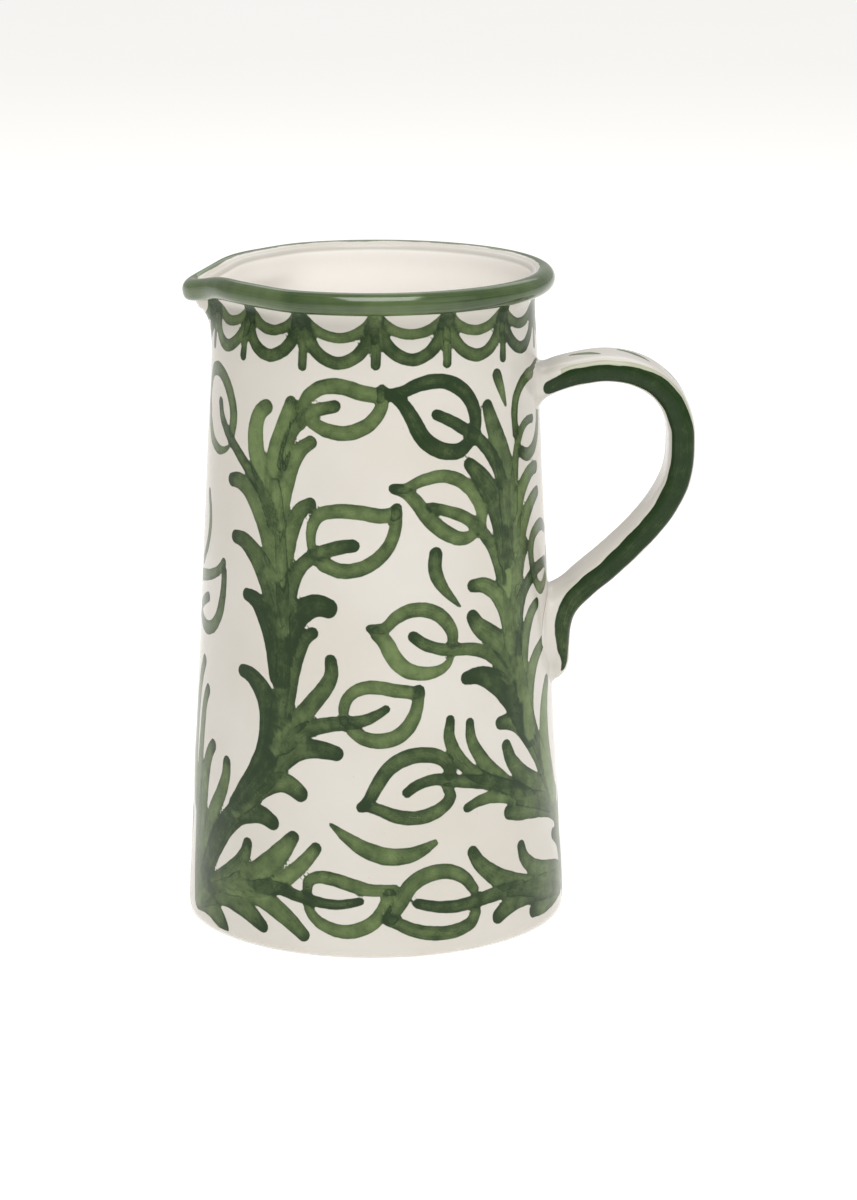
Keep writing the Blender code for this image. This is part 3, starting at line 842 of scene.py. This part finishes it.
# %% Wires and shops
class Wire:
    """One output socket. Arithmetic on it adds Math nodes."""

    def __init__(self, shop, socket):
        self.shop, self.socket = shop, socket

    def maths(self, operation, *values):
        return self.shop.add("ShaderNodeMath", {"operation": operation}, dict(enumerate(values)))

    def __add__(self, other):
        return self.maths("ADD", self, other)

    def __sub__(self, other):
        return self.maths("SUBTRACT", self, other)

    def __rsub__(self, other):
        return self.maths("SUBTRACT", other, self)

    def __mul__(self, other):
        return self.maths("MULTIPLY", self, other)

    __radd__, __rmul__ = __add__, __mul__

    def size(self):
        """How far it is from nought, either way."""
        return self.maths("ABSOLUTE", self)

    def step(self, low, high):
        """0 below low, 1 above high, and smooth between."""
        return self.shop.add(
            "ShaderNodeMapRange", {"interpolation_type": "SMOOTHSTEP"},
            {"Value": self, "From Min": low, "From Max": high, "To Min": 0.0, "To Max": 1.0},
        )


class Shop:
    """One material and the making of its nodes."""

    def __init__(self, name):
        self.material = bpy.data.materials.new(name)
        self.material.use_nodes = True
        self.tree = self.material.node_tree
        self.tree.nodes.clear()
        self.place = self.add("ShaderNodeTexCoord", {}, {}, "Object")

    def add(self, kind, settings, inputs, output=0):
        node = self.tree.nodes.new(kind)
        for name, value in settings.items():
            setattr(node, name, value)
        for name, value in inputs.items():
            if isinstance(value, Wire):
                self.tree.links.new(value.socket, node.inputs[name])
            else:
                node.inputs[name].default_value = value
        return Wire(self, node.outputs[output])

    def read(self, name):
        """A number kept on the mesh."""
        return self.add("ShaderNodeAttribute", {"attribute_name": name}, {}, "Fac")

    def cloud(self, size, detail=2.0, roughness=0.5, across=None):
        """Soft noise about 0.5, of a size in metres. With across it is drawn out into streaks."""
        settings = {"noise_dimensions": "3D" if across is None else "4D"}
        inputs = {"Vector": self.place, "Scale": 1 / size, "Detail": detail, "Roughness": roughness}
        if across is not None:
            inputs["W"] = across
        return self.add("ShaderNodeTexNoise", settings, inputs)

    def mix(self, share, first, second):
        """A colour between two others."""
        return self.add("ShaderNodeMix", {"data_type": "RGBA"}, {0: share, 6: first, 7: second}, 2)

    def finish(self, colour, roughness, height, **constants):
        """The clay's shader: colour, roughness and a small relief in metres."""
        relief = self.add(
            "ShaderNodeBump", {}, {"Height": height, "Distance": 1.0, "Strength": 1.0}, "Normal"
        )
        shader = self.add(
            "ShaderNodeBsdfPrincipled", {},
            {"Base Color": colour, "Roughness": roughness, "Normal": relief, **constants}, "BSDF",
        )
        output = self.tree.nodes.new("ShaderNodeOutputMaterial")
        self.tree.links.new(shader.socket, output.inputs["Surface"])


def tint(red, green, blue):
    """A colour from its red, green and blue, 0 to 255 as a paint chart gives them."""
    linear = [
        share / 12.92 if share <= 0.04045 else ((share + 0.055) / 1.055) ** 2.4
        for share in (red / 255, green / 255, blue / 255)
    ]
    return (*linear, 1.0)


# %% [markdown]
# ### Cream glaze and green brushwork
# The glaze is a warm white that pools a little. The green is translucent: thin in the belly of a stroke,
# darker at its edge and where strokes cross, with fine streaks along the brush's travel. Reading the
# distance from the stroke's edge as one axis of a noise draws those streaks parallel to the stroke.

# %% Colours of the glaze
CREAM = tint(205, 201, 194)
CREAM_DEEP = tint(199, 194, 185)
# painted light: a brighter cream for the inside, standing in for the light that gathers in the pot
CREAM_LIT_INSIDE = tint(248, 244, 238)
GREEN_THIN = tint(106, 125, 76)
GREEN_FULL = tint(17, 43, 6)
BARE_CLAY = tint(196, 172, 142)
BARE_CLAY_DARK = tint(176, 148, 116)
BARE_CLAY_WORN = tint(222, 202, 176)
# a painted highlight: the pale green sheen along the handle band's rounded upper edge
PAINTED_SHEEN_GREEN = tint(140, 150, 110)
GLOSS = {"IOR": 1.5, "Specular IOR Level": 0.18}
RIM_GLOSS = {"IOR": 1.5, "Specular IOR Level": 0.55}     # the rim is glazed thickest and shines most


def cream_ground(shop):
    """The glaze itself: colour and height."""
    drift = shop.cloud(0.055, 3.0)
    colour = shop.mix(drift.step(0.32, 0.72), CREAM, CREAM_DEEP)
    specks = shop.add(
        "ShaderNodeTexVoronoi", {"feature": "F1"},
        {"Vector": shop.place, "Scale": 1 / 0.0085, "Randomness": 1.0}, "Distance",
    )
    speck = 1 - specks.step(0.020, 0.048)
    colour = shop.mix(speck * 0.30, colour, BARE_CLAY_DARK)
    height = shop.cloud(0.030, 1.0) * 0.00035 + shop.cloud(0.0011, 1.0) * 0.000006
    return colour, height


def green_coat(shop, ground, coats, shade, streak_size=0.020):
    """Lays translucent green over the ground. coats are millimetres outside each layer of paint."""
    waver = (shop.cloud(0.0042, 2.0) - 0.5) * 0.60
    edge = coats[0]
    if len(coats) > 1:
        edge = edge - (1 - coats[1].step(0.1, 0.9)) * 0.35     # wet paint bridges the narrowest gaps
    streaks = shop.cloud(streak_size, 3.0, 0.65, across=edge * 1.25)
    mottle = shop.cloud(0.0060, 4.0, 0.6)
    covered = 1 - (edge + waver).step(-0.16, 0.16)
    belly = 1 - edge.step(-2.6, -0.5)                   # 1 well inside the stroke
    wet_edge = edge.step(-0.95, -0.10)                  # the wet edge dries darkest
    thinness = shade * 1.35 + belly * 0.16 + (streaks - 0.5) * 2.3
    thinness = thinness + (mottle - 0.5) * 1.2 - wet_edge * 0.12 - 0.32
    if len(coats) > 1:
        second, third = [coat + waver * 0.8 for coat in coats[1:]]
        seam = (1 - (second + 0.06).size().step(0.0, 0.45)) * shop.cloud(0.009).step(0.36, 0.58)
        crossed = (1 - second.step(-0.4, 0.1)) * third.step(-0.6, 0.6)
        thinness = thinness - seam * 0.38 - crossed * 0.15
    paint = shop.mix(thinness.step(-0.15, 1.10), GREEN_FULL, GREEN_THIN)
    return shop.mix(covered * 0.985, ground, paint), covered


# %% Finish for the body
painted = Shop("painted cream glaze")
ground, height = cream_ground(painted)
# painted light: the inside wears the brighter cream
ground = painted.mix(painted.read("inside"), ground, CREAM_LIT_INSIDE)
height_up = painted.add("ShaderNodeSeparateXYZ", {}, {0: painted.place}, "Z")
layers = [painted.read(f"coat_{number}") for number in range(COATS)]
colour, covered = green_coat(painted, ground, layers, painted.read("stroke_shade"))
wiped = 1 - (height_up + (painted.cloud(0.004) - 0.5) * 0.0001).step(0.0000, 0.0002)
colour = painted.mix(wiped, colour, BARE_CLAY)
shine = painted.cloud(0.012, 2.0) * 0.06 + covered * 0.05 + wiped * 0.45 + 0.13
painted.finish(colour, shine, height, **GLOSS)

# %% Finish for the rim
banded = Shop("green rim glaze")
ground, height = cream_ground(banded)
flank = banded.read("rim_flank")
streaks = banded.cloud(0.060, 4.0, 0.7, across=flank * 0.085)
patches = banded.cloud(0.024, 3.0, 0.6)
thinness = (streaks - 0.5) * 1.5 + (patches - 0.5) * 0.9 + 0.40
green = banded.mix(thinness.step(-0.10, 1.10), GREEN_FULL, GREEN_THIN)
stop_line = flank + (banded.cloud(0.010, 3.0) - 0.5) * 22
colour = banded.mix(stop_line.step(109.0, 116.0), green, ground)
shine = banded.cloud(0.012, 2.0) * 0.06 + 0.10
banded.finish(colour, shine, height, **RIM_GLOSS)

# %% Finish for the handle
edged = Shop("edged handle glaze")
ground, height = cream_ground(edged)
# A painted highlight beside the band, where the overhead light would catch the strap's rounded edge.
sheen = 1 - edged.read("band_sheen").step(-0.25, 0.25)
ground = edged.mix(sheen * 0.55, ground, PAINTED_SHEEN_GREEN)
edge = edged.read("band_edge")
colour, covered = green_coat(edged, ground, [edge], edged.read("band_shade"), 0.045)
shine = edged.cloud(0.012, 2.0) * 0.06 + covered * 0.05 + 0.13
edged.finish(colour, shine, height, **GLOSS)

# %% [markdown]
# ### Bare clay
# Unglazed stoneware is matt and sandy. A ring pattern about the axis carries the marks of turning.

# %% Finish for the base
bare = Shop("bare stoneware")
grain = bare.cloud(0.0016, 4.0, 0.7)
drift = bare.cloud(0.030, 3.0)
rings = bare.add(
    "ShaderNodeTexWave", {"wave_type": "RINGS", "rings_direction": "Z"},
    {"Vector": bare.place, "Scale": 130.0, "Distortion": 1.2, "Detail": 3.0, "Detail Scale": 1.5},
)
colour = bare.mix((grain * 0.7 + drift * 0.6).step(0.35, 0.95), BARE_CLAY_DARK, BARE_CLAY)
colour = bare.mix(rings * 0.22, colour, BARE_CLAY_WORN)
bare.finish(colour, grain * 0.15 + 0.72, grain * 0.00012 + rings * 0.00010, **GLOSS)

# %% Give each piece its finish
for piece, shop in ((body, painted), (rim, banded), (handle, edged), (base, bare)):
    piece.data.materials.clear()
    piece.data.materials.append(shop.material)
    print(piece.name, "wears", shop.material.name, "of", len(shop.tree.nodes), "nodes")

# %% [markdown]
# ## A flat layout of the skin
# Baked to pictures, the painting needs a layout that gives the outside most of the room. The outside is
# unrolled whole, with its seam under the handle. The inside is a band below it, and the floor and the
# underside are discs at the foot.

# %% Unroll the body and the rim
def unroll(piece, place_of):
    """Writes the layout. place_of takes each face's middle and normal and its corners' points."""
    mesh = piece.data
    layer = mesh.uv_layers.new(name="OFBake")
    corners = fetch(mesh.loops, "vertex_index", int)
    counts = fetch(mesh.polygons, "loop_total", int)
    face = np.repeat(np.arange(len(counts)), counts)
    middles, normals = fetch_rows(mesh.polygons, "center"), fetch_rows(mesh.polygons, "normal")
    flat = place_of(middles[face], normals[face], corners)
    layer.data.foreach_set("uv", flat.astype(np.float32).ravel())
    layer.active = layer.active_render = True
    print(piece.name, "unrolled:", len(counts), "faces")


def turns(x, y):
    return np.arctan2(y, x) / (2 * np.pi) % 1.0


def near_turn(corner, middle):
    """The corner's turn, unwound so that it lies beside the face's middle."""
    return middle + (corner - middle + 0.5) % 1.0 - 0.5


# Places on the layout, whose sides are 1 long. A band has its foot or side, and how far it goes.
SIDES = (0.004, 0.992)
OUTSIDE_BAND = (0.352, 0.640)
INSIDE_BAND = (0.182, 0.160)
UNDER_DISC, FLOOR_DISC = (0.090, 0.088), (0.270, 0.088)
DISC_SCALE = 1.15      # for each metre
RIM_SIDES, RIM_BAND = (0.01, 0.98), (0.02, 0.94)
FLANK_SPAN = 372       # degrees: a full turn of the section and a face to spare


def lay_out_body(middle, normal, corners):
    x, y, z = points_of(body)[corners].T
    facing = normal[:, 0] * middle[:, 0] + normal[:, 1] * middle[:, 1]
    u = SIDES[0] + SIDES[1] * near_turn(turns(x, y), turns(middle[:, 0], middle[:, 1]))
    bands = (OUTSIDE_BAND, INSIDE_BAND)
    outside, inside = [np.stack([u, foot + tall * z / TOP], -1) for foot, tall in bands]
    disc = DISC_SCALE * np.stack([x, y], -1)
    under, on_floor = disc + UNDER_DISC, disc + FLOOR_DISC
    flat = np.where((facing < 0)[:, None], inside, outside)
    flat = np.where(((normal[:, 2] > 0.7) & (middle[:, 2] < 0.03))[:, None], on_floor, flat)
    return np.where(((normal[:, 2] < -0.7) & (middle[:, 2] < 0.01))[:, None], under, flat)


def lay_out_rim(middle, normal, corners):
    x, y, _ = points_of(rim)[corners].T
    here = fetch(rim.data.attributes["rim_flank"].data, "value")[corners]
    by_face = here.reshape(-1, 4)
    wraps = by_face.max(1) - by_face.min(1) > 180
    here = np.where(np.repeat(wraps, 4) & (here < 80), here + 360, here)
    u = RIM_SIDES[0] + RIM_SIDES[1] * near_turn(turns(x, y), turns(middle[:, 0], middle[:, 1]))
    return np.stack([u, RIM_BAND[0] + RIM_BAND[1] * (here - FLANK_START) / FLANK_SPAN], -1)


unroll(body, lay_out_body)
unroll(rim, lay_out_rim)

# %% [markdown]
# ## Stand the pieces in the frame
# Each piece rides on the pot's one body and hides the plain solids it stands for.

# %% Fit to the frame
for piece, slot, solids in (
    (body, "cream_glaze", ("body_wall",)),
    (base, "base_stoneware", ("base_slab",)),
    (rim, "green_glaze", ("rim_coil",)),
    (handle, "handle_glaze", ("handle_strap", "upper_joint_slip", "lower_joint_slip")),
):
    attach(piece, "root")
    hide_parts(*solids)
    print(piece.name, "stands for", ", ".join(solids))

# %% [markdown]
# ## Floor, light and camera
# A wide pale floor and big soft lights keep the shading gentle, so that the painting shows. The softbox
# overhead is what lays the long highlight on the rim.

# %% Lay the floor
GLOW = {"Emission Color": (1, 0.995, 0.985, 1), "Emission Strength": 0.42, "Specular IOR Level": 0.05}

ground_sheet = start_piece(
    "floor", bpy.ops.mesh.primitive_circle_add, vertices=96, radius=14, fill_type="NGON"
)
paper = Shop("pale paper")
pale = paper.mix(paper.cloud(0.4), tint(247, 246, 244), tint(244, 243, 240))
paper.finish(pale, paper.cloud(0.2) * 0.05 + 0.85, paper.cloud(0.003) * 0.00002, **GLOW)
ground_sheet.data.materials.append(paper.material)

# %% Hang the lights
def softbox(name, place, target, width, depth, power):
    """A rectangular lamp at a place, aimed at a target."""
    lamp = bpy.data.lights.new(name, "AREA")
    lamp.shape, lamp.size, lamp.size_y = "RECTANGLE", width, depth
    lamp.energy = power
    holder = bpy.data.objects.new(name, lamp)
    bpy.context.scene.collection.objects.link(holder)
    aim = Vector(target) - Vector(place)
    holder.location = place
    holder.rotation_euler = aim.to_track_quat("-Z", "Y").to_euler()


MIDDLE = (0, 0, TOP / 2)
softbox("overhead", (0.05, -0.62, 1.45), (0, 0, TOP), 0.85, 1.0, 16)
softbox("window", (1.3, -1.1, 1.1), MIDDLE, 1.2, 1.2, 2.6)
softbox("behind", (0.2, 1.6, 1.5), MIDDLE, 1.6, 1.0, 5)
print(len(bpy.data.lights), "lights")

world = bpy.data.worlds.new("studio")
bpy.context.scene.world = world
world.use_nodes = True
sky = world.node_tree.nodes["Background"].inputs
sky["Color"].default_value = (1.0, 0.99, 0.975, 1)
sky["Strength"].default_value = 0.52
bpy.context.scene.view_settings.view_transform = "Standard"

# %% Set up the camera
CAMERA_PLACE = (0.0, -1.437, 0.4685)
CAMERA_DOWN = 0.2409       # radians below level
CAMERA_TURN = -0.0137      # radians, towards the handle
lens = bpy.data.cameras.new("camera")
lens.lens, lens.sensor_width, lens.clip_end = 120.45, 36.0, 60.0
camera = bpy.data.objects.new("camera", lens)
camera.location = CAMERA_PLACE
camera.rotation_euler = (math.pi / 2 - CAMERA_DOWN, 0, CAMERA_TURN)
bpy.context.scene.collection.objects.link(camera)
bpy.context.scene.camera = camera
print("camera at", CAMERA_PLACE)
